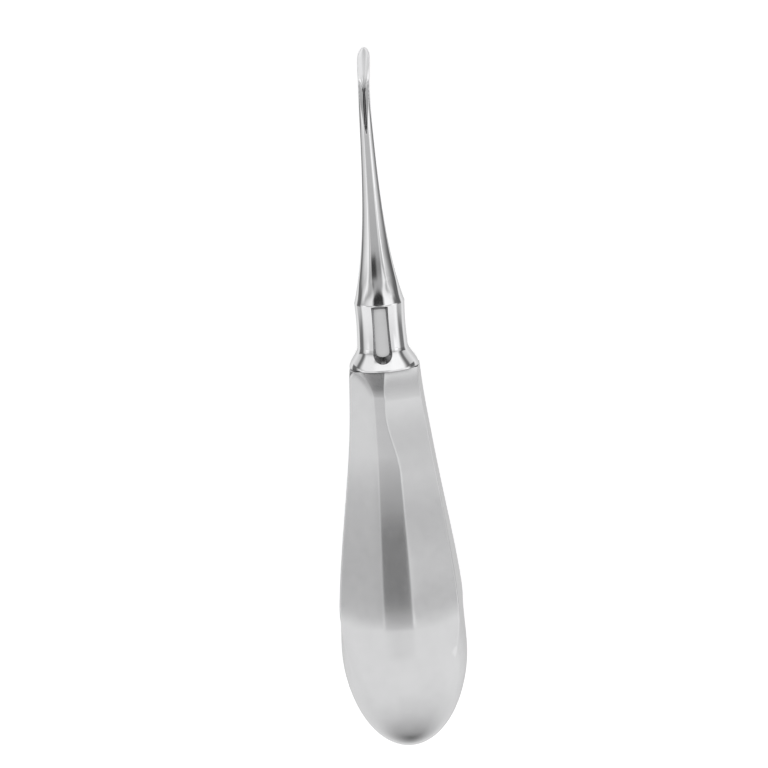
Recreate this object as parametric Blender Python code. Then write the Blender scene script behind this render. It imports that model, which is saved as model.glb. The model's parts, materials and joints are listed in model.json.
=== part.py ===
"""Straight root elevator with a faceted pear-shaped handle and a polished working end.

Units are metres. Both pieces are modelled along +Y, from the handle's domed end to the tip of
the blade, with the blade's scoop facing +Z. The whole instrument is then laid down as it rests
on a table: on the handle's narrow back facet and the back of the blade.
"""
import math

import bmesh
import bpy
from mathutils import Matrix
from mathutils import Vector

# Handle, along the axis
HANDLE_LENGTH = 0.0816
DOME_LENGTH = 0.0225
TAPER_LENGTH = 0.0635
DEPTH_START = 0.0278
DEPTH_TAPER_LENGTH = 0.036
DEPTH_SKEW = 0.8
LEAN_LENGTH = 0.0185
LEAN = 0.0003

# Handle section: half sizes at the belly and where the taper runs out at the neck
BELLY_HALF_WIDTH = 0.0128
BELLY_HALF_DEPTH = 0.0119
NECK_HALF_WIDTH = 0.0070
NECK_HALF_DEPTH = 0.0066
FACET_SLOPE = math.radians(24.5)

# Narrow front and back facets: half widths to the left and right of the middle
FRONT_BELLY = 0.0030
FRONT_LEFT_NECK = 0.0022
FRONT_RIGHT_NECK = 0.0014
PINCH_PLACE = 0.0725
PINCH_REACH = 0.0126
PINCH_DEPTH = 0.0017
BACK_NECK = 0.0015
EDGE_SHARPNESS = 70.0

# Smooth domed end that the facets fade into
DOME_HALF_WIDTH = 0.0132
DOME_HALF_DEPTH = 0.0114
FADE_START = 0.0165
FADE_LENGTH = 0.0165

# Neck: oval collar, the shoulder that rounds the facet corners, the bend of the facets below
# the seam, and the crown across the front and back facets
COLLAR_HALF_WIDTH = 0.00715
COLLAR_HALF_DEPTH = 0.0057
SHOULDER_LENGTH = 0.006
SHOULDER_MARGIN = 0.0012
SHOULDER_SPREAD = 0.0024
ROUNDING_LENGTH = 0.006
FRONT_DROP = 0.0009
RIGHT_DROP = 0.0011
CROWN_RATIO = 1.7

# Seat of the working end in the handle
SEAT_GAP = 0.0003
TANG_RADIUS = 0.0026
TANG_LENGTH = 0.014
TANG_TAPER = 0.0006
TANG_CHAMFER = 0.0006
SEAT_OFFSET = 0.00035
SET_ANGLE = math.radians(0.5)
TWIST_ANGLE = math.radians(3.5)

# Foot and bolster
FOOT_LENGTH = 0.0046
BOLSTER_LENGTH = 0.0091
BOLSTER_RADIUS = 0.0052
BOLSTER_WAIST = 0.00015

# Flat panel sunk in the front of the bolster
PANEL_HALF_WIDTH = 0.0012
PANEL_HEIGHT = 0.0042
PANEL_LEDGE_INSET = 0.0008
PANEL_START = 0.0024
PANEL_WIDENING = 0.00018
PANEL_END_SAG = 0.0006
PANEL_DRAFT = math.radians(38.0)

# Shank: eight flat sides that run from the round bolster to the blade
SHANK_LENGTH = 0.0347
SHANK_ROOT_RADIUS = 0.00097
SHANK_DECAY = 0.0146
OCTAGON_START = 0.0055
OCTAGON_RUN_IN = 0.004

# Blade: a gouge with a slender groove that opens into a spoon-shaped scoop
BLADE_LENGTH = 0.0184
BLADE_WIDENING = 0.00016
BLADE_SIDE_SET = 0.00073
TIP_LENGTH = 0.00235
EDGE_HEIGHT = 0.0001
SCOOP_LENGTH = 0.0087
SCOOP_FACE_HEIGHT = 0.0003
SCOOP_DEPTH = 0.00055
GROOVE_HALF_WIDTH = 0.00024
GROOVE_DEPTH = 0.00022
RIM_WIDTH = 0.00013
BACK_THINNING = 0.00035

# Facet angles round the axis, from the front towards +X
OCTAGON_ANGLES = [math.radians(45.0 * k) for k in range(8)]
EDGE_FRACTIONS = (0.0, 0.05, 0.14, 0.38, 0.62, 0.86, 0.95)


def smooth(u):
    """Ease from 0 to 1 with level ends."""
    u = min(max(u, 0.0), 1.0)
    return u * u * (3.0 - 2.0 * u)


def mix(a, b, u):
    """The value a share u of the way from a to b."""
    return a + (b - a) * u


def round_end(u):
    """Quarter ellipse: 0 at u = 0 and 1 from u = 1 on."""
    u = min(max(u, 0.0), 1.0)
    return math.sqrt(1.0 - (1.0 - u) ** 2)


def evenly(start, end, count):
    """Places from start to end, both included."""
    return [mix(start, end, k / count) for k in range(count + 1)]


def facet_radius(angle, facets):
    """Distance from the axis to a prism of flat facets whose corners are slightly rounded."""
    total = 0.0
    for normal, distance in facets:
        reach = math.cos(angle - normal)
        if reach > 0.0:
            total += (reach / distance) ** EDGE_SHARPNESS
    return total ** (-1.0 / EDGE_SHARPNESS)


def oval_radius(angle, half_width, half_depth):
    """Distance from the centre of an oval to its outline."""
    return 1.0 / math.hypot(math.sin(angle) / half_width, math.cos(angle) / half_depth)


def softer_minimum(a, b):
    """The smaller of two radii, with a rounded change from one to the other."""
    return (a ** -EDGE_SHARPNESS + b ** -EDGE_SHARPNESS) ** (-1.0 / EDGE_SHARPNESS)


def corner_angle(first, second):
    """Direction of the corner where two neighbouring facets meet."""
    (a, da), (b, db) = first, second
    x = (da * math.cos(b) - db * math.cos(a)) / math.sin(a - b)
    z = (db * math.sin(a) - da * math.sin(b)) / math.sin(a - b)
    return math.atan2(x, z)


def ring_angles(facets):
    """Angles of a section's points: on each corner, beside it and across each facet."""
    corners = [corner_angle(facets[k - 1], facets[k]) for k in range(len(facets))]
    angles = []
    for k, start in enumerate(corners):
        span = (corners[(k + 1) % len(corners)] - start) % math.tau
        angles += [start + span * share for share in EDGE_FRACTIONS]
    return angles


def ring(y, angles, radius, centre_x=0.0):
    """One closed section across the axis, with the radius given for each angle."""
    points = []
    for angle in angles:
        r = radius(angle)
        points.append(Vector((centre_x + r * math.sin(angle), y, r * math.cos(angle))))
    return points


def skin(name, rings, start_point=None, end_point=None):
    """Closed mesh through the rings, with a flat cap or a point at each end."""
    bm = bmesh.new()
    loops = [[bm.verts.new(p) for p in points] for points in rings]
    count = len(loops[0])
    for low, high in zip(loops, loops[1:]):
        for k in range(count):
            n = (k + 1) % count
            bm.faces.new((low[k], low[n], high[n], high[k]))
    close_end(bm, list(reversed(loops[0])), start_point)
    close_end(bm, loops[-1], end_point)
    bmesh.ops.recalc_face_normals(bm, faces=bm.faces)
    mesh = bpy.data.meshes.new(name)
    bm.to_mesh(mesh)
    bm.free()
    return mesh


def close_end(bm, loop, point):
    """Close a skin with one flat face, or with a fan to a point."""
    if point is None:
        bm.faces.new(loop)
        return
    tip = bm.verts.new(point)
    for k in range(len(loop)):
        bm.faces.new((loop[k], loop[(k + 1) % len(loop)], tip))


def add_object(name, mesh, parent, material=None):
    """Named object under its parent, shaded smooth with crisp edges."""
    mesh.shade_smooth()
    mesh.set_sharp_from_angle(angle=math.radians(22.0))
    if material:
        mesh.materials.append(material)
    piece = bpy.data.objects.new(name, mesh)
    piece.parent = parent
    bpy.context.collection.objects.link(piece)
    return piece


def add_empty(name, parent=None):
    """Empty that places what is parented to it."""
    empty = bpy.data.objects.new(name, None)
    empty.parent = parent
    bpy.context.collection.objects.link(empty)
    return empty


def steel(name, shade, roughness):
    """Stainless steel with the finish given by its roughness."""
    material = bpy.data.materials.new(name)
    material.use_nodes = True
    shader = material.node_tree.nodes["Principled BSDF"]
    shader.inputs["Base Color"].default_value = (shade, shade, shade * 1.01, 1.0)
    shader.inputs["Metallic"].default_value = 1.0
    shader.inputs["Roughness"].default_value = roughness
    return material


def cut(piece, cutter):
    """Cut one piece by a hidden cutter."""
    cutter.hide_render = True
    cutter.display_type = 'WIRE'
    modifier = piece.modifiers.new("cut_" + cutter.name, 'BOOLEAN')
    modifier.operation = 'DIFFERENCE'
    modifier.solver = 'EXACT'
    modifier.object = cutter


# Handle


def round_over(y, drop):
    """How far a facet bends in below the seam."""
    return drop * max(0.0, 1.0 - (HANDLE_LENGTH - y) / ROUNDING_LENGTH) ** 2


def handle_facets(y):
    """Normal angle and distance of the handle's eight facets at y."""
    taper = smooth((y - DOME_LENGTH) / TAPER_LENGTH)
    half_width = mix(BELLY_HALF_WIDTH, NECK_HALF_WIDTH, taper)
    thinning = max(0.0, (y - DEPTH_START) / DEPTH_TAPER_LENGTH) ** DEPTH_SKEW
    half_depth = mix(BELLY_HALF_DEPTH, NECK_HALF_DEPTH, smooth(thinning))
    left = mix(FRONT_BELLY, FRONT_LEFT_NECK, taper)
    pinch = PINCH_DEPTH * smooth(1.0 - abs(y - PINCH_PLACE) / PINCH_REACH)
    right = mix(FRONT_BELLY, FRONT_RIGHT_NECK, taper) - pinch
    back = mix(FRONT_BELLY, BACK_NECK, taper)

    def sloping(facet_half_width):
        return facet_half_width * math.sin(FACET_SLOPE) + half_depth * math.cos(FACET_SLOPE)

    side = math.pi / 2.0
    return [
        (0.0, half_depth - round_over(y, FRONT_DROP)),
        (FACET_SLOPE, sloping(right) - round_over(y, RIGHT_DROP)),
        (side, half_width),
        (math.pi - FACET_SLOPE, sloping(back)),
        (math.pi, half_depth - round_over(y, FRONT_DROP)),
        (math.pi + FACET_SLOPE, sloping(back)),
        (math.pi + side, half_width),
        (math.tau - FACET_SLOPE, sloping(left)),
    ]


def handle_ring(y):
    """Section of the handle: facets, faded into the dome and rounded under the collar."""
    facets = handle_facets(y)
    dome = round_end(y / DOME_LENGTH)
    fade = 1.0 - smooth((y - FADE_START) / FADE_LENGTH)
    spread = SHOULDER_MARGIN + SHOULDER_SPREAD * (HANDLE_LENGTH - y) / SHOULDER_LENGTH
    crown_width = CROWN_RATIO * facets[2][1]
    crown_depth = facets[0][1]
    lean = LEAN * smooth(1.0 - (HANDLE_LENGTH - y) / LEAN_LENGTH)

    def radius(angle):
        flat = facet_radius(angle, facets)
        shoulder = oval_radius(angle, COLLAR_HALF_WIDTH + spread, COLLAR_HALF_DEPTH + spread)
        flat = softer_minimum(flat, shoulder)
        flat = softer_minimum(flat, oval_radius(angle, crown_width, crown_depth))
        return dome * mix(flat, oval_radius(angle, DOME_HALF_WIDTH, DOME_HALF_DEPTH), fade)

    return ring(y, ring_angles(facets), radius, -lean)


def handle_places():
    """Places of the sections, closer together at the dome and under the collar."""
    dome = [DOME_LENGTH * (1.0 - math.cos(math.radians(a))) for a in range(7, 91, 8)]
    body = evenly(DOME_LENGTH, HANDLE_LENGTH - 2.0 * SHOULDER_LENGTH, 16)
    neck = evenly(HANDLE_LENGTH - 2.0 * SHOULDER_LENGTH, HANDLE_LENGTH, 14)
    return dome[:-1] + body + neck[1:]


def build_handle(parent, seat):
    """Pear-shaped faceted handle with the socket for the tang."""
    rings = [handle_ring(y) for y in handle_places()]
    mesh = skin("handle", rings, start_point=Vector((0.0, 0.0, 0.0)))
    handle = add_object("handle", mesh, parent, steel("satin_steel", 0.62, 0.34))
    socket = skin("socket", tang_rings(SEAT_GAP, COLLAR_HALF_DEPTH))
    cut(handle, add_object("socket", socket, seat))
    return handle


# Working end, measured from the handle's top face


def round_section(y, radius):
    """Plain round section with the same points as the others."""
    angles = ring_angles([(a, radius) for a in OCTAGON_ANGLES])
    return ring(y, angles, lambda angle: radius)


def tang_rings(clearance, above):
    """Tapered round tang with a chamfered end, grown by a clearance for its socket."""
    top = TANG_RADIUS + clearance
    end = TANG_RADIUS - TANG_TAPER + clearance
    bottom = -TANG_LENGTH - clearance
    return [
        round_section(bottom, end - TANG_CHAMFER),
        round_section(bottom + TANG_CHAMFER, end),
        round_section(above, top),
    ]


def foot_ring(y):
    """Oval foot that sweeps in to the round bolster."""
    rise = max(0.0, (y - SEAT_GAP) / (FOOT_LENGTH - SEAT_GAP))
    half_width = mix(COLLAR_HALF_WIDTH, BOLSTER_RADIUS, smooth(rise))
    half_depth = mix(BOLSTER_RADIUS, COLLAR_HALF_DEPTH, (1.0 - rise) ** 2)
    angles = ring_angles([(a, BOLSTER_RADIUS) for a in OCTAGON_ANGLES])
    return ring(y, angles, lambda angle: oval_radius(angle, half_width, half_depth))


def bolster_radius(y):
    """Slightly waisted bolster between its foot and its top ring."""
    u = (y - FOOT_LENGTH) / BOLSTER_LENGTH
    return BOLSTER_RADIUS - BOLSTER_WAIST * math.sin(math.pi * u)


def shank_radius(y):
    """Half width across the flats, falling off fast at first and then slowly."""
    run = y - FOOT_LENGTH - BOLSTER_LENGTH
    return SHANK_ROOT_RADIUS + (BOLSTER_RADIUS - SHANK_ROOT_RADIUS) * math.exp(-run / SHANK_DECAY)


def shank_ring(y):
    """Section of the shank: round at the ring, then eight flat sides."""
    radius = shank_radius(y)
    facets = [(a, radius) for a in OCTAGON_ANGLES]
    flats = smooth((y - FOOT_LENGTH - BOLSTER_LENGTH - OCTAGON_START) / OCTAGON_RUN_IN)
    angles = ring_angles(facets)
    return ring(y, angles, lambda a: mix(radius, facet_radius(a, facets), flats))


def blade_face(run, half_width, x):
    """Height of the ground front of the blade at x: a flat, less the groove and scoop."""
    scoop_start = BLADE_LENGTH - SCOOP_LENGTH
    opening = smooth((run - scoop_start) / (0.4 * SCOOP_LENGTH))
    run_out = smooth(run / (0.25 * scoop_start))
    width = mix(GROOVE_HALF_WIDTH * run_out, max(half_width - RIM_WIDTH, 0.0), opening)
    rising = smooth((run - scoop_start) / SCOOP_LENGTH)
    depth = mix(GROOVE_DEPTH * run_out, SCOOP_DEPTH * (1.0 - 0.6 * rising), opening)
    face = mix(shank_radius(FOOT_LENGTH + BOLSTER_LENGTH + SHANK_LENGTH), SCOOP_FACE_HEIGHT,
               smooth(run / (0.7 * BLADE_LENGTH)))
    if width <= 0.0 or abs(x) >= width:
        return face
    return face - depth * (1.0 - (x / width) ** 2)


def blade_ring(run):
    """Section of the gouge, a round back under a ground and hollowed front."""
    y = FOOT_LENGTH + BOLSTER_LENGTH + SHANK_LENGTH + run
    facets = [(a, shank_radius(y)) for a in OCTAGON_ANGLES]
    rounding = smooth(run / (0.4 * BLADE_LENGTH))
    widening = BLADE_WIDENING * smooth((run - 0.55 * BLADE_LENGTH) / (0.3 * BLADE_LENGTH))
    tip = round_end((BLADE_LENGTH - run) / TIP_LENGTH)
    half_width = (shank_radius(y) + widening) * tip
    half_back = (shank_radius(y) - BACK_THINNING * smooth(run / BLADE_LENGTH)) * tip
    centre_x = BLADE_SIDE_SET * max(0.0, (run - 0.2 * BLADE_LENGTH) / (0.8 * BLADE_LENGTH)) ** 2
    points = []
    for angle in ring_angles(facets):
        flat = mix(facet_radius(angle, facets), shank_radius(y), rounding) / shank_radius(y)
        x = half_width * flat * math.sin(angle)
        z = half_back * flat * math.cos(angle)
        face = mix(EDGE_HEIGHT, blade_face(run, half_width, x), tip)
        points.append(Vector((centre_x + x, y, min(z, face))))
    return points


def blade_places():
    """Places of the blade's sections, closer together at the rounded tip."""
    straight = evenly(0.0, BLADE_LENGTH - TIP_LENGTH, 26)
    rounded = [BLADE_LENGTH - TIP_LENGTH * (1.0 - math.sin(math.radians(a)))
               for a in (15, 30, 44, 57, 68, 77, 84)]
    return straight[1:] + rounded


def panel_cutter(parent):
    """Drafted pocket with a straight ledge at the top, a shallow round end and flared sides."""
    top_edge = FOOT_LENGTH + BOLSTER_LENGTH - PANEL_LEDGE_INSET
    height = COLLAR_HALF_DEPTH - PANEL_HEIGHT + SEAT_GAP
    rings = []
    for z, grow in ((PANEL_HEIGHT, 0.0), (PANEL_HEIGHT + height, height * math.tan(PANEL_DRAFT))):
        top = PANEL_HALF_WIDTH + grow
        foot = PANEL_HALF_WIDTH + PANEL_WIDENING + grow
        outline = [Vector((top, top_edge + grow, z)), Vector((-top, top_edge + grow, z))]
        for k in range(17):
            u = -1.0 + k / 8
            low = PANEL_START - grow + PANEL_END_SAG * u * u
            outline.append(Vector((foot * u, low, z)))
        rings.append(outline)
    return add_object("panel_pocket", skin("panel_pocket", rings), parent)


def build_working_end(seat):
    """Tang, foot, bolster, shank and blade, forged as one piece."""
    ring_place = FOOT_LENGTH + BOLSTER_LENGTH
    rings = tang_rings(0.0, SEAT_GAP)
    rings += [foot_ring(y) for y in evenly(SEAT_GAP, FOOT_LENGTH, 9)]
    rings += [round_section(y, bolster_radius(y)) for y in evenly(FOOT_LENGTH, ring_place, 6)[1:]]
    flats_place = ring_place + OCTAGON_START + OCTAGON_RUN_IN
    rings += [shank_ring(y) for y in evenly(ring_place, flats_place, 8)[1:]]
    rings += [shank_ring(y) for y in evenly(flats_place, ring_place + SHANK_LENGTH, 11)[1:]]
    rings += [blade_ring(run) for run in blade_places()]
    tip_y = ring_place + SHANK_LENGTH + BLADE_LENGTH
    mesh = skin("working_end", rings, end_point=Vector((BLADE_SIDE_SET, tip_y, EDGE_HEIGHT)))
    piece = add_object("working_end", mesh, seat, steel("polished_steel", 0.72, 0.12))
    cut(piece, panel_cutter(seat))
    return piece


# Rest pose


def lowest(points, pitch):
    """Lowest point of a piece with the tip lowered by the pitch."""
    return min(p.z * math.cos(pitch) - p.y * math.sin(pitch) for p in points)


def lay_down(rest, handle, working_end):
    """Lower the tip until handle and blade both touch, then centre the part on the origin."""
    bpy.context.view_layer.update()
    grip = [handle.matrix_world @ v.co for v in handle.data.vertices]
    blade = [working_end.matrix_world @ v.co for v in working_end.data.vertices]
    low, high = 0.0, math.radians(15.0)
    for _ in range(40):
        middle = (low + high) / 2.0
        if lowest(grip, middle) < lowest(blade, middle):
            low = middle
        else:
            high = middle
    turned = [Matrix.Rotation(-low, 4, 'X') @ p for p in grip + blade]
    centre = [(min(p[k] for p in turned) + max(p[k] for p in turned)) / 2.0 for k in (0, 1)]
    rest.rotation_euler = (-low, 0.0, 0.0)
    rest.location = (-centre[0], -centre[1], -min(p.z for p in turned))


def main():
    for old in list(bpy.data.objects):
        bpy.data.objects.remove(old)
    rest = add_empty("rest")
    seat = add_empty("seat", rest)
    seat.location = (-SEAT_OFFSET, HANDLE_LENGTH, 0.0)
    seat.rotation_euler = (0.0, TWIST_ANGLE, SET_ANGLE)
    handle = build_handle(rest, seat)
    working_end = build_working_end(seat)
    lay_down(rest, handle, working_end)
    bpy.context.view_layer.update()


main()
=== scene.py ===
import json
import math

import bmesh
import bpy
from mathutils import Matrix
from mathutils import Vector


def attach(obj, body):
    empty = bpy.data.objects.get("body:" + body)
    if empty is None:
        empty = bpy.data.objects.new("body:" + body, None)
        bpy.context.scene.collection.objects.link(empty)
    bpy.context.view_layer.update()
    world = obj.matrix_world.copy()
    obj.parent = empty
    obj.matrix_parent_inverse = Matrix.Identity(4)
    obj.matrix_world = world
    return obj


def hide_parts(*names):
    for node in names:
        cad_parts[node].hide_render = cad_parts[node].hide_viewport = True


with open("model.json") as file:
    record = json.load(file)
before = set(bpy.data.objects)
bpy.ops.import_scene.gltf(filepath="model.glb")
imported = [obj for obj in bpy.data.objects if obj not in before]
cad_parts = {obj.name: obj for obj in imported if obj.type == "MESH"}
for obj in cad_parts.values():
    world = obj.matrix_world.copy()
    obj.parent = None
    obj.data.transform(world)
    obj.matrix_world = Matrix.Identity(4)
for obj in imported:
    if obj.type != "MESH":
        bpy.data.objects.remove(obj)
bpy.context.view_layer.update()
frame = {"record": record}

# Sizes in metres, with y along the instrument's axis from the domed end towards the tip

# Handle: lengths, half widths and half depths, and the facets
HANDLE_LENGTH = 0.0816
DOME_LENGTH = 0.0225
TAPER_LENGTH = 0.0635
DEPTH_START = 0.0278
DEPTH_TAPER_LENGTH = 0.036
DEPTH_SKEW = 0.8
LEAN_LENGTH = 0.0185
LEAN = 0.0003
BELLY_HALF_WIDTH = 0.0128
BELLY_HALF_DEPTH = 0.0119
NECK_HALF_WIDTH = 0.0070
NECK_HALF_DEPTH = 0.0066
DOME_HALF_WIDTH = 0.0132
DOME_HALF_DEPTH = 0.0114
FADE_START = 0.0165
FADE_LENGTH = 0.0165
FACET_SLOPE = math.radians(24.5)
FRONT_BELLY = 0.0030
FRONT_LEFT_NECK = 0.0022
FRONT_RIGHT_NECK = 0.0014
BACK_NECK = 0.0015
PINCH_PLACE = 0.0725
PINCH_REACH = 0.0126
PINCH_DEPTH = 0.0017
CROWN_RATIO = 1.7

# Handle under the seam: the shoulder and the facets that bend in
COLLAR_HALF_WIDTH = 0.00715
COLLAR_HALF_DEPTH = 0.0057
SHOULDER_LENGTH = 0.006
SHOULDER_MARGIN = 0.0012
SHOULDER_SPREAD = 0.0024
FRONT_ROUNDING = 0.0052
FRONT_ROUNDING_POWER = 1.5
FRONT_DROP = 0.00104
RIGHT_ROUNDING = 0.0062
RIGHT_ROUNDING_POWER = 1.5
RIGHT_DROP = 0.0013
BACK_ROUNDING_POWER = 2.0

# How the working end is set in the handle
SEAT_GAP = 0.0003
SEAM_GAP = 0.00004
SEAT_OFFSET = 0.00035
SET_ANGLE = math.radians(0.5)
TWIST_ANGLE = math.radians(3.5)
TANG_RADIUS = 0.0026
TANG_LENGTH = 0.014
TANG_TAPER = 0.0006
TANG_CHAMFER = 0.0006

# Foot, bolster and the bolster's sunk panel
FOOT_LENGTH = 0.0046
FOOT_HALF_DEPTH = 0.0063
FOOT_SWEEP = 1.6
BOLSTER_LENGTH = 0.0091
BOLSTER_RADIUS = 0.0052
BOLSTER_WAIST = 0.00015
PANEL_HALF_WIDTH = 0.0012
PANEL_HEIGHT = 0.0042
PANEL_LEDGE_INSET = 0.0008
PANEL_START = 0.0028
PANEL_WIDENING = 0.00018
PANEL_END_SAG = 0.0009
PANEL_DRAFT = math.radians(38.0)

# The panel's walls are found by their place and by how far they lean
PANEL_REACH = 0.0012
WALL_NORMAL = 0.75
LEFT_WALL_NORMAL = 0.6
# Material slots of the painted shade on the pocket's walls, darker and lighter
SHADED_WALL_SLOT = 1
LIGHTER_SHADED_WALL_SLOT = 2

# Shank: round at the bolster's ring, then eight sides that turn crisper along it
SHANK_LENGTH = 0.0347
SHANK_ROOT_RADIUS = 0.00097
SHANK_DECAY = 0.0146
OCTAGON_ANGLES = [math.radians(45.0 * k) for k in range(8)]
OCTAGON_START = 0.001
OCTAGON_RUN_IN = 0.004
FLATNESS = 0.78
SOFT_SHARPNESS = 11.0
SOFT_LENGTH = 0.026
FULL_SHARPNESS = 45.0

# Blade, with the stretches of its shaping as shares of its length
BLADE_LENGTH = 0.0184
BLADE_WIDENING = 0.00016
BLADE_SIDE_SET = 0.00073
BACK_THINNING = 0.00035
TIP_LENGTH = 0.00235
EDGE_HEIGHT = 0.0001
WIDENING_START = 0.55
WIDENING_SHARE = 0.3
SIDE_SET_START = 0.2
ROUNDING_SHARE = 0.4
FACE_SHARE = 0.7

# Groove and scoop, with shares of the groove's and the scoop's length
SCOOP_LENGTH = 0.0092
SCOOP_FACE_HEIGHT = 0.0003
SCOOP_DEPTH = 0.00055
SCOOP_SHALLOWING = 0.6
SCOOP_OPENING_SHARE = 0.3
GROOVE_HALF_WIDTH = 0.0003
GROOVE_DEPTH = 0.00042
GROOVE_START_SHARE = 0.25
RIM_WIDTH = 0.00013

# Crispness of the corners between facets
EDGE_SHARPNESS = 160.0
BLEND_SHARPNESS = 70.0
FACING_LIMIT = 0.01
CREASE_ANGLE = math.radians(35.0)

# Fineness of the meshes
POINTS_PER_FACET = 20
CORNER_PACKING = 0.13
FRONT_PACKING = 0.6
FRONT_PACKING_SHARE = 0.15
PANEL_END_STEPS = 32
RINGS = {"dome": 50, "body": 190, "neck": 110, "foot": 70, "bolster": 50, "shank": 180,
         "blade": 190, "tip": 40}

# The photograph's view: turned round and tipped from straight down, then the picture's own tilt
VIEW_ROLL = math.radians(4.2)
VIEW_PITCH = math.radians(18.3)
PICTURE_TILT = math.atan(0.0665)
PICTURE_PIXELS = 768
METRES_PER_PIXEL = 0.0002069
AIM_ALONG = 0.0777
AIM_SIDE_PIXELS = 3.0
CAMERA_DISTANCE = 1.2
CAMERA_NEAR = 0.01
CAMERA_FAR = 10.0
SENSOR = 36.0


def smooth(u):
    """Ease from 0 to 1 with level ends."""
    u = min(max(u, 0.0), 1.0)
    return u * u * (3.0 - 2.0 * u)


def mix(a, b, u):
    """The value a share u of the way from a to b."""
    return a + (b - a) * u


def round_end(u):
    """Quarter ellipse: 0 at u = 0 and 1 from u = 1 on."""
    u = min(max(u, 0.0), 1.0)
    return math.sqrt(1.0 - (1.0 - u) ** 2)


def evenly(start, end, count):
    """Places from start to end, both included."""
    return [mix(start, end, k / count) for k in range(count + 1)]


# Where the instrument lies, from the bolster panel's mount in the frame

def seat_turn():
    """Turn of the working end against the handle."""
    return Matrix.Rotation(SET_ANGLE, 4, 'Z') @ Matrix.Rotation(TWIST_ANGLE, 4, 'Y')


def rest_matrix():
    """Placement of the handle's own axes, found from the panel's point and normal."""
    panel = frame["record"]["mounts"][0]
    normal = Vector(panel["axis"])
    flat = seat_turn() @ Vector((0.0, 0.0, 1.0))
    pitch = math.atan2(normal.y, normal.z) - math.atan2(flat.y, flat.z)
    turn = Matrix.Rotation(-pitch, 4, 'X')
    middle = Vector((0.0, FOOT_LENGTH + 0.5 * BOLSTER_LENGTH, PANEL_HEIGHT))
    on_panel = Vector((-SEAT_OFFSET, HANDLE_LENGTH, 0.0)) + seat_turn() @ middle
    return Matrix.Translation(Vector(panel["pos_m"]) - turn @ on_panel) @ turn


REST = rest_matrix()
SEAT = REST @ Matrix.Translation((-SEAT_OFFSET, HANDLE_LENGTH, 0.0)) @ seat_turn()


def add_camera():
    """Camera over the instrument, at the photograph's angle and scale."""
    axis = (REST.to_3x3() @ Vector((0.0, 1.0, 0.0))).normalized()
    back = Matrix.Rotation(-VIEW_PITCH, 3, 'X') @ Matrix.Rotation(VIEW_ROLL, 3, 'Y') \
        @ Vector((0.0, 0.0, 1.0))
    along = (axis - back * axis.dot(back)).normalized()
    across = along.cross(back)
    up = along * math.cos(PICTURE_TILT) + across * math.sin(PICTURE_TILT)
    right = across * math.cos(PICTURE_TILT) - along * math.sin(PICTURE_TILT)
    target = REST.translation + axis * AIM_ALONG - right * AIM_SIDE_PIXELS * METRES_PER_PIXEL
    data = bpy.data.cameras.new("camera")
    data.sensor_width = SENSOR
    data.lens = SENSOR * CAMERA_DISTANCE / (PICTURE_PIXELS * METRES_PER_PIXEL)
    data.clip_start = CAMERA_NEAR
    data.clip_end = CAMERA_FAR
    camera = bpy.data.objects.new("camera", data)
    turn = Matrix((right, up, back)).transposed().to_4x4()
    camera.matrix_world = Matrix.Translation(target + back * CAMERA_DISTANCE) @ turn
    bpy.context.collection.objects.link(camera)
    bpy.context.scene.camera = camera


# Sections

def facet_radius(angle, facets, sharpness=EDGE_SHARPNESS):
    """Distance from the axis to a prism of flat facets whose corners are slightly rounded."""
    leans = [(math.cos(angle - normal), distance) for normal, distance in facets]
    reaches = [distance / lean for lean, distance in leans if lean > FACING_LIMIT]
    nearest = min(reaches)
    return nearest * sum((nearest / reach) ** sharpness for reach in reaches) ** (-1.0 / sharpness)


def oval_radius(angle, half_width, half_depth):
    """Distance from the centre of an oval to its outline."""
    return 1.0 / math.hypot(math.sin(angle) / half_width, math.cos(angle) / half_depth)


def softer_minimum(a, b):
    """The smaller of two radii, with a rounded change from one to the other."""
    near, far = min(a, b), max(a, b)
    return near * (1.0 + (near / far) ** BLEND_SHARPNESS) ** (-1.0 / BLEND_SHARPNESS)


def corner_angle(first, second):
    """Direction of the corner where two neighbouring facets meet."""
    (a, da), (b, db) = first, second
    x = (da * math.cos(b) - db * math.cos(a)) / math.sin(a - b)
    z = (db * math.sin(a) - da * math.sin(b)) / math.sin(a - b)
    return math.atan2(x, z)


def ring_angles(facets):
    """Angles of a section's points, packed towards the corners."""
    corners = [corner_angle(facets[k - 1], facets[k]) for k in range(len(facets))]
    angles = []
    for k, start in enumerate(corners):
        span = (corners[(k + 1) % len(corners)] - start) % math.tau
        for j in range(POINTS_PER_FACET):
            u = j / POINTS_PER_FACET
            angles.append(start + span * (u - CORNER_PACKING * math.sin(math.tau * u)))
    return angles


def ring(y, angles, radius, centre_x=0.0):
    """One closed section across the axis, with the radius given for each angle."""
    points = []
    for angle in angles:
        r = radius(angle)
        points.append(Vector((centre_x + r * math.sin(angle), y, r * math.cos(angle))))
    return points


def skin(name, rings, start_point=None, end_point=None):
    """Closed mesh through the rings, with a flat cap or a point at each end."""
    bm = bmesh.new()
    loops = [[bm.verts.new(p) for p in points] for points in rings]
    count = len(loops[0])
    for low, high in zip(loops, loops[1:]):
        for k in range(count):
            n = (k + 1) % count
            bm.faces.new((low[k], low[n], high[n], high[k]))
    close_end(bm, list(reversed(loops[0])), start_point)
    close_end(bm, loops[-1], end_point)
    bmesh.ops.recalc_face_normals(bm, faces=bm.faces)
    mesh = bpy.data.meshes.new(name)
    bm.to_mesh(mesh)
    bm.free()
    return mesh


def close_end(bm, loop, point):
    """Close a skin with one flat face, or with a fan to a point."""
    if point is None:
        bm.faces.new(loop)
        return
    tip = bm.verts.new(point)
    for k in range(len(loop)):
        bm.faces.new((loop[k], loop[(k + 1) % len(loop)], tip))


def add_object(name, mesh, matrix):
    """Named object in its place, shaded smooth with crisp edges."""
    mesh.shade_smooth()
    mesh.set_sharp_from_angle(angle=CREASE_ANGLE)
    piece = bpy.data.objects.new(name, mesh)
    piece.matrix_world = matrix
    bpy.context.collection.objects.link(piece)
    return piece


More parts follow.
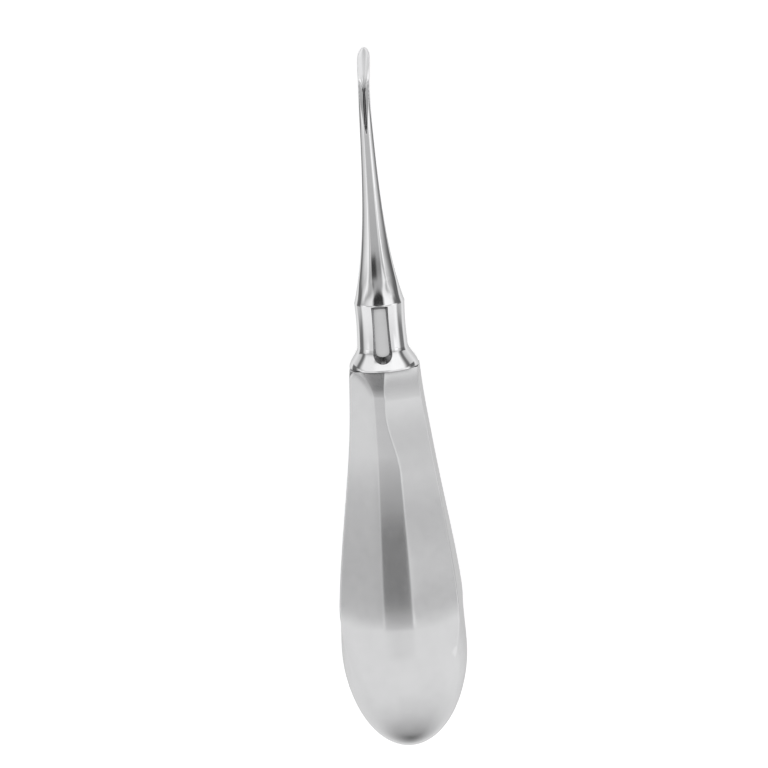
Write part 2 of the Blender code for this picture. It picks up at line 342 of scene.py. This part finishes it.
def cut(piece, cutter):
    """Cut one piece by a cutter and take the cutter away."""
    modifier = piece.modifiers.new("cut", 'BOOLEAN')
    modifier.operation = 'DIFFERENCE'
    modifier.solver = 'EXACT'
    modifier.object = cutter
    bpy.context.view_layer.update()
    graph = bpy.context.evaluated_depsgraph_get()
    mesh = bpy.data.meshes.new_from_object(piece.evaluated_get(graph))
    piece.modifiers.clear()
    piece.data = mesh
    mesh.shade_smooth()
    mesh.set_sharp_from_angle(angle=CREASE_ANGLE)
    bpy.data.objects.remove(cutter)


def set_down(piece):
    """Write a piece's placement into its mesh."""
    piece.data.transform(piece.matrix_world)
    piece.matrix_world = Matrix.Identity(4)
    return piece


# Handle

def round_over(y, drop, length, power):
    """How far a facet bends in below the seam."""
    return drop * max(0.0, 1.0 - (HANDLE_LENGTH - y) / length) ** power


def handle_facets(y):
    """Normal angle and distance of the handle's eight facets at y."""
    taper = smooth((y - DOME_LENGTH) / TAPER_LENGTH)
    half_width = mix(BELLY_HALF_WIDTH, NECK_HALF_WIDTH, taper)
    thinning = max(0.0, (y - DEPTH_START) / DEPTH_TAPER_LENGTH) ** DEPTH_SKEW
    half_depth = mix(BELLY_HALF_DEPTH, NECK_HALF_DEPTH, smooth(thinning))
    left = mix(FRONT_BELLY, FRONT_LEFT_NECK, taper)
    pinch = PINCH_DEPTH * smooth(1.0 - abs(y - PINCH_PLACE) / PINCH_REACH)
    right = mix(FRONT_BELLY, FRONT_RIGHT_NECK, taper) - pinch
    back = mix(FRONT_BELLY, BACK_NECK, taper)

    def sloping(facet_half_width):
        return facet_half_width * math.sin(FACET_SLOPE) + half_depth * math.cos(FACET_SLOPE)

    front_drop = round_over(y, FRONT_DROP, FRONT_ROUNDING, FRONT_ROUNDING_POWER)
    right_drop = round_over(y, RIGHT_DROP, RIGHT_ROUNDING, RIGHT_ROUNDING_POWER)
    back_drop = round_over(y, FRONT_DROP, FRONT_ROUNDING, BACK_ROUNDING_POWER)
    side = math.pi / 2.0
    return [
        (0.0, half_depth - front_drop),
        (FACET_SLOPE, sloping(right) - right_drop),
        (side, half_width),
        (math.pi - FACET_SLOPE, sloping(back)),
        (math.pi, half_depth - back_drop),
        (math.pi + FACET_SLOPE, sloping(back)),
        (math.pi + side, half_width),
        (math.tau - FACET_SLOPE, sloping(left)),
    ]


def handle_ring(y):
    """Section of the handle: facets, faded into the dome and rounded under the collar."""
    facets = handle_facets(y)
    dome = round_end(y / DOME_LENGTH)
    fade = 1.0 - smooth((y - FADE_START) / FADE_LENGTH)
    spread = SHOULDER_MARGIN + SHOULDER_SPREAD * (HANDLE_LENGTH - y) / SHOULDER_LENGTH
    crown_width = CROWN_RATIO * facets[2][1]
    crown_depth = facets[0][1]
    lean = LEAN * smooth(1.0 - (HANDLE_LENGTH - y) / LEAN_LENGTH)

    def radius(angle):
        flat = facet_radius(angle, facets)
        shoulder = oval_radius(angle, COLLAR_HALF_WIDTH + spread, COLLAR_HALF_DEPTH + spread)
        flat = softer_minimum(flat, shoulder)
        flat = softer_minimum(flat, oval_radius(angle, crown_width, crown_depth))
        return dome * mix(flat, oval_radius(angle, DOME_HALF_WIDTH, DOME_HALF_DEPTH), fade)

    return ring(y, ring_angles(facets), radius, -lean)


def build_handle():
    """Pear-shaped faceted handle with the socket for the tang."""
    count = RINGS["dome"]
    places = [DOME_LENGTH * (1.0 - math.cos(math.pi / 2.0 * k / count))
              for k in range(1, count)]
    neck = HANDLE_LENGTH - 2.0 * SHOULDER_LENGTH
    places += evenly(DOME_LENGTH, neck, RINGS["body"])
    places += evenly(neck, HANDLE_LENGTH, RINGS["neck"])[1:]
    rings = [handle_ring(y) for y in places]
    piece = add_object("handle_body", skin("handle_body", rings, Vector((0.0, 0.0, 0.0))), REST)
    socket = skin("socket", tang_rings(SEAT_GAP, COLLAR_HALF_DEPTH))
    cut(piece, add_object("socket", socket, SEAT))
    return piece


# Working end, measured from the handle's top face

def round_section(y, radius):
    """Plain round section with the same points as the others."""
    angles = ring_angles([(a, radius) for a in OCTAGON_ANGLES])
    return ring(y, angles, lambda angle: radius)


def tang_rings(clearance, above):
    """Tapered round tang with a chamfered end, grown by a clearance for its socket."""
    top = TANG_RADIUS + clearance
    end = TANG_RADIUS - TANG_TAPER + clearance
    bottom = -TANG_LENGTH - clearance
    return [
        round_section(bottom, end - TANG_CHAMFER),
        round_section(bottom + TANG_CHAMFER, end),
        round_section(above, top),
    ]


def foot_ring(y):
    """Oval foot that sweeps in to the round bolster."""
    rise = max(0.0, (y - SEAT_GAP) / (FOOT_LENGTH - SEAT_GAP))
    half_width = mix(COLLAR_HALF_WIDTH, BOLSTER_RADIUS, smooth(rise))
    half_depth = mix(BOLSTER_RADIUS, FOOT_HALF_DEPTH, (1.0 - rise) ** FOOT_SWEEP)
    angles = ring_angles([(a, BOLSTER_RADIUS) for a in OCTAGON_ANGLES])
    return ring(y, angles, lambda angle: oval_radius(angle, half_width, half_depth))


def bolster_radius(y):
    """Slightly waisted bolster between its foot and its top ring."""
    u = (y - FOOT_LENGTH) / BOLSTER_LENGTH
    return BOLSTER_RADIUS - BOLSTER_WAIST * math.sin(math.pi * u)


def shank_radius(y):
    """Half width across the flats, falling off fast at first and then slowly."""
    run = y - FOOT_LENGTH - BOLSTER_LENGTH
    return SHANK_ROOT_RADIUS + (BOLSTER_RADIUS - SHANK_ROOT_RADIUS) * math.exp(-run / SHANK_DECAY)


def shank_ring(y):
    """Section of the shank: round at the ring, then eight flat sides."""
    radius = shank_radius(y)
    facets = [(a, radius) for a in OCTAGON_ANGLES]
    run = y - FOOT_LENGTH - BOLSTER_LENGTH
    flats = FLATNESS * smooth((run - OCTAGON_START) / OCTAGON_RUN_IN)
    sharpness = mix(SOFT_SHARPNESS, FULL_SHARPNESS, min(run / SOFT_LENGTH, 1.0))
    angles = ring_angles(facets)
    return ring(y, angles, lambda a: mix(radius, facet_radius(a, facets, sharpness), flats))


def blade_face(run, half_width, x):
    """Height of the ground front of the blade at x: a flat, less the groove and scoop."""
    scoop_start = BLADE_LENGTH - SCOOP_LENGTH
    opening = smooth((run - scoop_start) / (SCOOP_OPENING_SHARE * SCOOP_LENGTH))
    deepening = smooth(run / (GROOVE_START_SHARE * scoop_start))
    width = mix(GROOVE_HALF_WIDTH * deepening, max(half_width - RIM_WIDTH, 0.0), opening)
    rising = smooth((run - scoop_start) / SCOOP_LENGTH)
    hollow = SCOOP_DEPTH * (1.0 - SCOOP_SHALLOWING * rising)
    depth = mix(GROOVE_DEPTH * deepening, hollow, opening)
    shank_end = shank_radius(FOOT_LENGTH + BOLSTER_LENGTH + SHANK_LENGTH)
    face = mix(shank_end, SCOOP_FACE_HEIGHT, smooth(run / (FACE_SHARE * BLADE_LENGTH)))
    if width <= 0.0 or abs(x) >= width:
        return face
    return face - depth * (1.0 - (x / width) ** 2)


def front_packed(angle, packing):
    """Move a section's angle towards the front, so that the groove gets more points."""
    angle = math.remainder(angle, math.tau)
    return math.copysign(math.pi * abs(angle / math.pi) ** packing, angle)


def blade_ring(run):
    """Section of the gouge, a round back under a ground and hollowed front."""
    y = FOOT_LENGTH + BOLSTER_LENGTH + SHANK_LENGTH + run
    radius = shank_radius(y)
    facets = [(a, radius) for a in OCTAGON_ANGLES]
    rounding = mix(1.0 - FLATNESS, 1.0, smooth(run / (ROUNDING_SHARE * BLADE_LENGTH)))
    widening = BLADE_WIDENING * smooth((run / BLADE_LENGTH - WIDENING_START) / WIDENING_SHARE)
    tip = round_end((BLADE_LENGTH - run) / TIP_LENGTH)
    half_width = (radius + widening) * tip
    half_back = (radius - BACK_THINNING * smooth(run / BLADE_LENGTH)) * tip
    set_share = max(0.0, (run / BLADE_LENGTH - SIDE_SET_START) / (1.0 - SIDE_SET_START))
    centre_x = BLADE_SIDE_SET * set_share ** 2
    packing = 1.0 + FRONT_PACKING * smooth(run / (FRONT_PACKING_SHARE * BLADE_LENGTH))
    points = []
    for even in ring_angles(facets):
        angle = front_packed(even, packing)
        flat = mix(facet_radius(angle, facets, FULL_SHARPNESS), radius, rounding) / radius
        x = half_width * flat * math.sin(angle)
        z = half_back * flat * math.cos(angle)
        face = mix(EDGE_HEIGHT, blade_face(run, half_width, x), tip)
        points.append(Vector((centre_x + x, y, min(z, face))))
    return points


def panel_outline(rise):
    """Outline of the pocket at a height over the panel: straight top, flared sides, round end."""
    grow = rise * math.tan(PANEL_DRAFT)
    top = FOOT_LENGTH + BOLSTER_LENGTH - PANEL_LEDGE_INSET + grow
    z = PANEL_HEIGHT + rise
    side = PANEL_HALF_WIDTH + grow
    foot = side + PANEL_WIDENING
    outline = [Vector((side, top, z)), Vector((-side, top, z))]
    for k in range(PANEL_END_STEPS + 1):
        angle = math.pi * k / PANEL_END_STEPS
        low = PANEL_START + PANEL_END_SAG - (PANEL_END_SAG + grow) * math.sin(angle)
        outline.append(Vector((-foot * math.cos(angle), low, z)))
    return outline


def panel_cutter():
    """Drafted pocket whose bottom is the flat panel."""
    top_rise = FOOT_HALF_DEPTH - PANEL_HEIGHT + SEAT_GAP
    rings = [panel_outline(0.0), panel_outline(top_rise)]
    return add_object("panel_pocket", skin("panel_pocket", rings), SEAT)


def mark_panel_walls(mesh):
    """Give the pocket's walls painted shade: dark steel on most walls and a less dark copy on the
    left wall.
    """
    start = PANEL_START - PANEL_REACH
    end = FOOT_LENGTH + BOLSTER_LENGTH
    for face in mesh.polygons:
        x, y, z = face.center
        inside = start < y < end and abs(x) < PANEL_HALF_WIDTH + PANEL_REACH
        if inside and z > PANEL_HEIGHT - SEAM_GAP and face.normal.z < WALL_NORMAL:
            face.material_index = LIGHTER_SHADED_WALL_SLOT if face.normal.x > LEFT_WALL_NORMAL else SHADED_WALL_SLOT


def build_working_end():
    """Tang, foot, bolster, shank and blade as one fine mesh."""
    top = FOOT_LENGTH + BOLSTER_LENGTH
    blade_start = top + SHANK_LENGTH
    rings = tang_rings(0.0, SEAM_GAP)
    rings += [foot_ring(y) for y in evenly(SEAM_GAP, FOOT_LENGTH, RINGS["foot"])]
    rings += [round_section(y, bolster_radius(y))
              for y in evenly(FOOT_LENGTH, top, RINGS["bolster"])[1:]]
    rings += [shank_ring(y) for y in evenly(top, blade_start, RINGS["shank"])[1:]]
    rings += [blade_ring(run)
              for run in evenly(0.0, BLADE_LENGTH - TIP_LENGTH, RINGS["blade"])[1:]]
    count = RINGS["tip"]
    for k in range(1, count):
        along = 1.0 - math.sin(math.pi / 2.0 * k / count)
        rings.append(blade_ring(BLADE_LENGTH - TIP_LENGTH * along))
    tip = Vector((BLADE_SIDE_SET, blade_start + BLADE_LENGTH, EDGE_HEIGHT))
    piece = add_object("blade_and_shank", skin("blade_and_shank", rings, None, tip), SEAT)
    cut(piece, panel_cutter())
    mark_panel_walls(piece.data)
    return piece


# Materials

# Noise per metre: fine marks drawn out along the instrument, and soft clouds
MARK_SCALE = 5200.0
MARK_DETAIL = 3.0
CLOUD_SCALE = 420.0
CLOUD_DETAIL = 5.0
CLOUD_DARK = 0.96
CLOUD_LIGHT = 1.035
CLOUD_GRAIN = 0.4
MARK_HEIGHT = 0.00002

# Rubbed edges, lighter as wear and as a painted highlight: where they show, and how far they are
# lighter and smoother
EDGE_START = 0.505
EDGE_FULL = 0.53
EDGE_SHARE = 0.35
EDGE_LIGHT = 1.2
EDGE_SMOOTHING = 0.3

# Painted shade in recesses: how far a recess reaches, and how open a place is
RECESS_REACH = 0.0011
RECESS_SAMPLES = 8
RECESS_CLOSED = 0.35
RECESS_OPEN = 1.0
BLUE_TINT = 1.01


class Graph:
    """Short calls for building a node tree."""

    def __init__(self, tree):
        self.nodes = tree.nodes
        self.links = tree.links
        self.nodes.clear()

    def feed(self, socket, value):
        """Link a socket to an output, or set it to a plain value."""
        if isinstance(value, bpy.types.NodeSocket):
            self.links.new(value, socket)
        else:
            socket.default_value = value

    def math(self, operation, *values):
        """One math node."""
        node = self.nodes.new("ShaderNodeMath")
        node.operation = operation
        for socket, value in zip(node.inputs, values):
            self.feed(socket, value)
        return node.outputs[0]

    def degrees(self, radians):
        """Radians as degrees."""
        return self.math('MULTIPLY', radians, math.degrees(1.0))

    def ramp(self, value, stops):
        """Grey levels at given degrees, with even steps between them."""
        low, high = stops[0][0], stops[-1][0]
        share = self.math('DIVIDE', self.math('SUBTRACT', value, low), high - low)
        node = self.nodes.new("ShaderNodeValToRGB")
        elements = node.color_ramp.elements
        elements.remove(elements[1])
        for k, (place, level) in enumerate(stops):
            position = (place - low) / (high - low)
            element = elements[0] if k == 0 else elements.new(position)
            element.position = position
            element.color = (level, level, level, 1.0)
        self.links.new(share, node.inputs[0])
        return node.outputs[0]

    def step(self, value, start, end):
        """Smooth step from 0 at the start to 1 at the end."""
        node = self.nodes.new("ShaderNodeMapRange")
        node.interpolation_type = 'SMOOTHSTEP'
        self.feed(node.inputs[0], value)
        self.feed(node.inputs[1], start)
        self.feed(node.inputs[2], end)
        return node.outputs[0]

    def within(self, value, start, full, fall, end):
        """1 from full to fall, easing down to 0 at the start and at the end."""
        return self.math('MULTIPLY', self.step(value, start, full),
                         self.math('SUBTRACT', 1.0, self.step(value, fall, end)))

    def noise(self, vector, scale, detail):
        """Plain noise from 0 to 1."""
        node = self.nodes.new("ShaderNodeTexNoise")
        self.feed(node.inputs["Vector"], vector)
        node.inputs["Scale"].default_value = scale
        node.inputs["Detail"].default_value = detail
        return node.outputs["Fac"]

    def mix(self, factor, a, b):
        """Plain mix of two grey levels or colours."""
        node = self.nodes.new("ShaderNodeMix")
        node.data_type = 'RGBA'
        self.feed(node.inputs[0], factor)
        self.feed(node.inputs[6], a)
        self.feed(node.inputs[7], b)
        return node.outputs[2]


def grey(level):
    """A neutral steel colour."""
    return (level, level, level * BLUE_TINT, 1.0)


def steel(name, shade, roughness, grain, streak, painted_shade_level):
    """Steel with fine marks along the instrument, edges lighter as rubbed wear and as a painted
    highlight, and painted shade in its recesses.
    """
    material = bpy.data.materials.new(name)
    material.use_nodes = True
    graph = Graph(material.node_tree)
    shader = graph.nodes.new("ShaderNodeBsdfPrincipled")
    place = graph.nodes.new("ShaderNodeTexCoord").outputs["Object"]
    drawn = graph.nodes.new("ShaderNodeMapping")
    drawn.inputs["Scale"].default_value = (1.0, streak, 1.0)
    graph.links.new(place, drawn.inputs["Vector"])
    marks = graph.noise(drawn.outputs[0], MARK_SCALE, MARK_DETAIL)
    clouds = graph.noise(place, CLOUD_SCALE, CLOUD_DETAIL)
    pointiness = graph.nodes.new("ShaderNodeNewGeometry").outputs["Pointiness"]
    edge = graph.step(pointiness, EDGE_START, EDGE_FULL)

    tone = graph.mix(clouds, grey(shade * CLOUD_DARK), grey(shade * CLOUD_LIGHT))
    # Edges painted lighter: partly rubbed wear, partly a painted highlight
    tone = graph.mix(graph.math('MULTIPLY', edge, EDGE_SHARE), tone, grey(shade * EDGE_LIGHT))
    # Painted shade: the base colour darkens where ambient occlusion finds a recess or seam
    recess = graph.nodes.new("ShaderNodeAmbientOcclusion")
    recess.samples = RECESS_SAMPLES
    recess.inputs["Distance"].default_value = RECESS_REACH
    open_share = graph.step(recess.outputs["AO"], RECESS_CLOSED, RECESS_OPEN)
    tone = graph.mix(open_share, grey(shade * painted_shade_level), tone)
    graph.links.new(tone, shader.inputs["Base Color"])
    shader.inputs["Metallic"].default_value = 1.0

    spread = graph.math('MULTIPLY_ADD', marks, grain, roughness - 0.5 * grain)
    spread = graph.math('SUBTRACT', spread, 0.5 * CLOUD_GRAIN * grain)
    spread = graph.math('MULTIPLY_ADD', clouds, CLOUD_GRAIN * grain, spread)
    worn = graph.math('MULTIPLY', edge, EDGE_SMOOTHING * roughness)
    graph.links.new(graph.math('SUBTRACT', spread, worn), shader.inputs["Roughness"])

    bump = graph.nodes.new("ShaderNodeBump")
    bump.inputs["Strength"].default_value = 1.0
    bump.inputs["Distance"].default_value = MARK_HEIGHT * grain
    graph.links.new(marks, bump.inputs["Height"])
    graph.links.new(bump.outputs[0], shader.inputs["Normal"])
    out = graph.nodes.new("ShaderNodeOutputMaterial")
    graph.links.new(shader.outputs[0], out.inputs["Surface"])
    return material


# Studio

FLOOR_SIZE = 3.0
PAPER_SHADE = 0.8
PAPER_GLOW = 0.5

# Brightness of the tent round the instrument, by the angle from overhead towards the tip,
# straight above the axis, on the left and right slants, and near the horizon on both sides
MIDDLE_STOPS = [(-88, 0.25), (-80, 0.5), (-62, 0.72), (-51, 0.88), (-41, 0.98), (-31, 1.09),
                (-17, 1.1), (-13, 0.98), (-10, 0.84), (-7, 0.73), (-2, 0.61), (3, 0.56),
                (8, 0.53), (10, 0.46), (11.7, 0.33), (13.6, 0.33), (16.5, 0.5), (18.5, 0.45),
                (20.5, 0.04), (25, 0.04), (28, 1.2), (62, 1.25), (74, 0.3), (85, 0.1)]
LEFT_STOPS = [(-85, 0.4), (-65, 0.65), (-51, 0.92), (-39, 1.05), (-16, 1.08), (-12, 1.05),
              (-9, 1.0), (-5, 0.87), (-2, 0.77), (0, 0.72), (5, 0.68), (8, 0.64), (13, 0.5),
              (16, 0.8), (20, 1.05), (60, 1.2), (72, 0.3), (85, 0.1)]
RIGHT_STOPS = [(-85, 0.4), (-65, 0.65), (-51, 0.9), (-39, 1.02), (-14, 1.1), (-9, 1.0),
               (-2, 0.9), (2, 0.86), (5, 0.76), (8, 0.6), (11, 0.55), (13, 1.05), (18, 1.22),
               (25, 1.27), (60, 1.25), (72, 0.3), (85, 0.1)]
LOW_LEFT_STOPS = [(-88, 0.1), (-65, 0.65), (-50, 0.95), (-16, 1.1), (-8, 0.85), (1, 1.0),
                  (5, 0.75), (10, 1.0), (25, 1.0), (60, 0.9), (75, 0.2)]
LOW_RIGHT_STOPS = [(-88, 0.1), (-65, 0.7), (-50, 0.95), (-16, 1.2), (-7, 1.2), (-4, 1.1),
                   (0, 0.7), (4, 0.9), (7, 0.7), (12, 0.9), (25, 1.0), (60, 0.9), (75, 0.2)]
GROUND_STOPS = [(-90, 0.62), (-65, 0.72), (-38, 1.0), (-15, 0.75), (0, 0.7)]

# Where the tent's parts meet, in degrees: where each change starts and where it ends
SIDES_MEET = (-8.0, 8.0)
MIDDLE_ENDS = (11.0, 27.0)
LOW_STARTS = (66.0, 84.0)
FLARE_STARTS = (17.0, 21.0)
FLARE = 8.0

# The dark arm that holds the tent, and the lighter strips of cloth in it
ARM_ALONG = (9.0, 11.0, 14.5, 17.0)
ARM_ACROSS = (-17.0, -11.0, 0.0, 5.0)
ARM_DARKNESS = 0.82
SEAM_ALONG = (-9.0, -4.0, 9.0, 14.0)
SEAM_ACROSS = (10.0, 17.0, 25.0, 32.0)
SEAM_LIGHT_LEFT = 0.3
SEAM_LIGHT_MORE_RIGHT = 0.15
STRIP_ALONG = (-8.0, -3.0, 8.0, 14.0)
STRIP_ACROSS = (56.0, 64.0, 72.0, 82.0)
STRIP_LIGHT = 0.6

# The dim horizon and the ground below it, both sinking towards the tip
TIPWARD = (8.0, 14.0)
HORIZON = (-9.0, 8.0)
HORIZON_SINKS = 12.0
HORIZON_LEVEL = 0.2
HORIZON_CLEARS = (-24.0, -12.0)
GROUND = (-36.0, -25.0)
GROUND_SINKS = 24.0


def add_floor():
    """Pale floor that shows as white and keeps the shadow."""
    bpy.ops.mesh.primitive_plane_add(size=FLOOR_SIZE, location=(0.0, 0.0, 0.0))
    floor = bpy.context.object
    floor.name = "floor"
    material = bpy.data.materials.new("floor_paper")
    material.use_nodes = True
    graph = Graph(material.node_tree)
    paper = graph.nodes.new("ShaderNodeBsdfDiffuse")
    paper.inputs["Color"].default_value = (PAPER_SHADE, PAPER_SHADE, PAPER_SHADE, 1.0)
    glow = graph.nodes.new("ShaderNodeEmission")
    path = graph.nodes.new("ShaderNodeLightPath")
    graph.feed(glow.inputs["Strength"],
               graph.math('MULTIPLY', path.outputs["Is Camera Ray"], PAPER_GLOW))
    add = graph.nodes.new("ShaderNodeAddShader")
    out = graph.nodes.new("ShaderNodeOutputMaterial")
    graph.links.new(paper.outputs[0], add.inputs[0])
    graph.links.new(glow.outputs[0], add.inputs[1])
    graph.links.new(add.outputs[0], out.inputs["Surface"])
    floor.data.materials.append(material)
    floor.visible_glossy = False


def tent_cloth(graph, along, across):
    """Brightness of the tent's cloth by direction, without its arm and strips."""
    off_middle = graph.math('ABSOLUTE', across)
    right_side = graph.step(across, *SIDES_MEET)
    slant = graph.mix(right_side, graph.ramp(along, LEFT_STOPS), graph.ramp(along, RIGHT_STOPS))
    low = graph.mix(right_side, graph.ramp(along, LOW_LEFT_STOPS),
                    graph.ramp(along, LOW_RIGHT_STOPS))
    flare = graph.math('MULTIPLY_ADD', graph.step(along, *FLARE_STARTS), -FLARE, off_middle)
    middle = graph.ramp(along, MIDDLE_STOPS)
    level = graph.mix(graph.step(flare, *MIDDLE_ENDS), middle, slant)
    return graph.mix(graph.step(off_middle, *LOW_STARTS), level, low)


def tent_details(graph, along, across, level):
    """The cloth with its dark arm and its lighter strips."""
    off_middle = graph.math('ABSOLUTE', across)
    right_side = graph.step(across, *SIDES_MEET)
    arm = graph.math('MULTIPLY', graph.within(along, *ARM_ALONG),
                     graph.within(across, *ARM_ACROSS))
    level = graph.math('MULTIPLY', level, graph.math('MULTIPLY_ADD', arm, -ARM_DARKNESS, 1.0))
    seam = graph.math('MULTIPLY', graph.within(along, *SEAM_ALONG),
                      graph.within(off_middle, *SEAM_ACROSS))
    light = graph.math('MULTIPLY_ADD', right_side, SEAM_LIGHT_MORE_RIGHT, SEAM_LIGHT_LEFT)
    seam = graph.math('MULTIPLY_ADD', seam, light, 1.0)
    level = graph.math('MULTIPLY', level, seam)
    strip = graph.math('MULTIPLY', graph.within(along, *STRIP_ALONG),
                       graph.within(off_middle, *STRIP_ACROSS))
    return graph.math('MULTIPLY', level, graph.math('MULTIPLY_ADD', strip, STRIP_LIGHT, 1.0))


def tent_foot(graph, along, height, level):
    """The tent with its dim horizon and the ground below."""
    tipward = graph.step(along, *TIPWARD)
    sunk = graph.math('MULTIPLY_ADD', tipward, -HORIZON_SINKS, height)
    clear = graph.math('SUBTRACT', 1.0, graph.step(along, *HORIZON_CLEARS))
    light = graph.math('MAXIMUM', graph.step(sunk, *HORIZON), clear)
    horizon = graph.math('MULTIPLY_ADD', light, 1.0 - HORIZON_LEVEL, HORIZON_LEVEL)
    level = graph.math('MULTIPLY', level, horizon)
    sunk = graph.math('MULTIPLY_ADD', tipward, -GROUND_SINKS, height)
    return graph.mix(graph.step(sunk, *GROUND), graph.ramp(height, GROUND_STOPS), level)


def add_world():
    """White to the camera, and a soft light tent round the instrument to all else."""
    world = bpy.data.worlds.new("tent")
    bpy.context.scene.world = world
    world.use_nodes = True
    graph = Graph(world.node_tree)
    split = graph.nodes.new("ShaderNodeSeparateXYZ")
    place = graph.nodes.new("ShaderNodeTexCoord")
    graph.links.new(place.outputs["Generated"], split.inputs[0])
    x, y, z = split.outputs
    along = graph.degrees(graph.math('ARCSINE', y))
    across = graph.degrees(graph.math('ARCTAN2', x, z))
    height = graph.degrees(graph.math('ARCSINE', z))
    level = tent_cloth(graph, along, across)
    level = tent_details(graph, along, across, level)
    level = tent_foot(graph, along, height, level)

    path = graph.nodes.new("ShaderNodeLightPath")
    colour = graph.mix(path.outputs["Is Camera Ray"], level, (1.0, 1.0, 1.0, 1.0))
    background = graph.nodes.new("ShaderNodeBackground")
    graph.links.new(colour, background.inputs["Color"])
    out = graph.nodes.new("ShaderNodeOutputWorld")
    graph.links.new(background.outputs[0], out.inputs["Surface"])


add_camera()
add_floor()
add_world()
bpy.context.scene.view_settings.view_transform = 'Standard'

# The last number of each steel is the level of its painted shade in recesses
satin = steel("satin_steel", shade=0.62, roughness=0.22, grain=0.1, streak=0.04, painted_shade_level=0.4)
polished = steel("polished_steel", shade=0.74, roughness=0.07, grain=0.03, streak=0.1,
                 painted_shade_level=0.15)
# Painted shade on the pocket's walls: a dark copy of the steel, and a less dark copy for the left
# wall
shaded_wall_steel = steel("painted_shade_wall", shade=0.26, roughness=0.25, grain=0.1, streak=0.1, painted_shade_level=0.5)
lighter_shaded_wall_steel = steel("lighter_painted_shade_wall", shade=0.6, roughness=0.25, grain=0.1, streak=0.1, painted_shade_level=0.7)

handle = set_down(build_handle())
handle.data.materials.append(satin)
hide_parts("handle")
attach(handle, "root")

working_end = set_down(build_working_end())
for material in (polished, shaded_wall_steel, lighter_shaded_wall_steel):
    working_end.data.materials.append(material)
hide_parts("working_end")
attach(working_end, "root")
